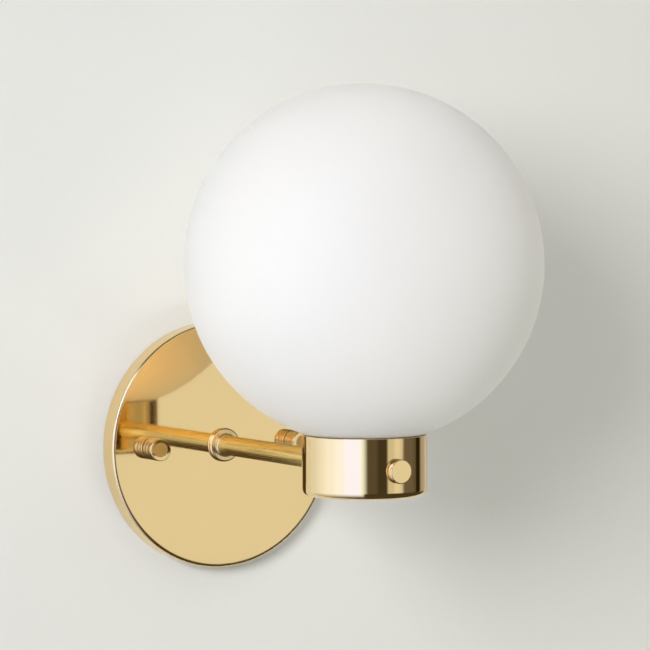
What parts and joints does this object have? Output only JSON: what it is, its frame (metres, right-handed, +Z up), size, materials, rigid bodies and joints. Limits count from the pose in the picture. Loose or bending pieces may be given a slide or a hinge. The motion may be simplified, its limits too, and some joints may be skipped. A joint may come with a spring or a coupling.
{
  "type": "globe wall sconce",
  "caption": "Wall light: a round polished plate carries a straight arm and an open cup, which holds an opal glass globe over a candle bulb.",
  "frame": {"origin": "centre of the wall plate's back, on the wall", "axes": "+Y points into the wall, +Z is up, +X is to the right for someone who faces the wall"},
  "size_m": [0.16, 0.2225, 0.2299],
  "materials": {
    "polished_brass": "mirror polished and lacquered",
    "satin_brass": "brushed along its length",
    "plain_brass": "as machined",
    "zinc_steel": "bright zinc plate",
    "green_steel": "green chromate",
    "black_nylon": "moulded",
    "clear_nylon": "natural nylon",
    "white_porcelain": "glazed porcelain",
    "nickel": "nickel plate",
    "opal_glass": "satin etched opal glass",
    "frosted_glass": "frosted inside",
    "black_glass": "fused black glass",
    "tin": "solder"
  },
  "bodies": {
    "sconce": {"wall_plate": "polished_brass", "mounting_plate": "zinc_steel", "mounting_studs": "zinc_steel", "stud_lock_nuts": "zinc_steel", "ground_washer": "plain_brass", "ground_screw": "green_steel", "arm_flange_ring": "polished_brass", "arm_tube": "satin_brass", "arm_lock_washer": "zinc_steel", "arm_back_nut": "zinc_steel", "arm_cup_nut": "plain_brass", "wire_bushes": "black_nylon", "cup": "polished_brass", "saddle_washer": "plain_brass", "lampholder_bracket": "zinc_steel", "lampholder_body": "white_porcelain", "lampholder_shell": "nickel", "lampholder_contact": "plain_brass", "lampholder_screws": "zinc_steel", "thumbscrew_boss": "plain_brass"},
    "globe": {"globe": "opal_glass"},
    "bulb_contact": {"bulb_contact": "tin"},
    "bulb": {"bulb_glass": "frosted_glass", "bulb_cap": "nickel", "bulb_insulator": "black_glass"},
    "thumbscrew_tip": {"thumbscrew_tip": "clear_nylon"},
    "thumbscrew": {"thumbscrew": "polished_brass"},
    "nut_washer_left": {"nut_washer_left": "clear_nylon"},
    "cap_nut_left": {"cap_nut_left": "polished_brass"},
    "nut_washer_right": {"nut_washer_right": "clear_nylon"},
    "cap_nut_right": {"cap_nut_right": "polished_brass"}
  },
  "joints": [
    {"name": "globe_lift", "type": "slide", "parent": "sconce", "child": "globe", "axis": [0, 0, 1], "range_m": [0, 0.105]},
    {"name": "bulb_travel", "type": "slide", "parent": "sconce", "child": "bulb_contact", "axis": [0, 0, 1], "range_m": [0, 0.01524]},
    {"name": "bulb_turn", "type": "hinge", "parent": "bulb_contact", "child": "bulb", "pos_m": [0, -0.1425, 0], "axis": [0, 0, 1], "range_deg": [0, 2160.1]},
    {"name": "thumbscrew_travel", "type": "slide", "parent": "sconce", "child": "thumbscrew_tip", "axis": [0, -1, 0], "range_m": [0, 0.0035]},
    {"name": "thumbscrew_turn", "type": "hinge", "parent": "thumbscrew_tip", "child": "thumbscrew", "pos_m": [0, -0.1425, 0], "axis": [0, -1, 0], "range_deg": [0, 1800.1]},
    {"name": "cap_nut_left_travel", "type": "slide", "parent": "sconce", "child": "nut_washer_left", "axis": [0, -1, 0], "range_m": [0, 0.007]},
    {"name": "cap_nut_left_turn", "type": "hinge", "parent": "nut_washer_left", "child": "cap_nut_left", "pos_m": [-0.039, -0.01, 0], "axis": [0, -1, 0], "range_deg": [0, 3600.1]},
    {"name": "cap_nut_right_travel", "type": "slide", "parent": "sconce", "child": "nut_washer_right", "axis": [0, -1, 0], "range_m": [0, 0.007]},
    {"name": "cap_nut_right_turn", "type": "hinge", "parent": "nut_washer_right", "child": "cap_nut_right", "pos_m": [0.039, -0.01, 0], "axis": [0, -1, 0], "range_deg": [0, 3600.1]}
  ],
  "couplings": [
    {"joint": "bulb_turn", "follows": "bulb_travel", "rad_per_m": 2473.7},
    {"joint": "thumbscrew_turn", "follows": "thumbscrew_travel", "rad_per_m": 8976},
    {"joint": "cap_nut_left_turn", "follows": "cap_nut_left_travel", "rad_per_m": 8976},
    {"joint": "cap_nut_right_turn", "follows": "cap_nut_right_travel", "rad_per_m": 8976}
  ]
}
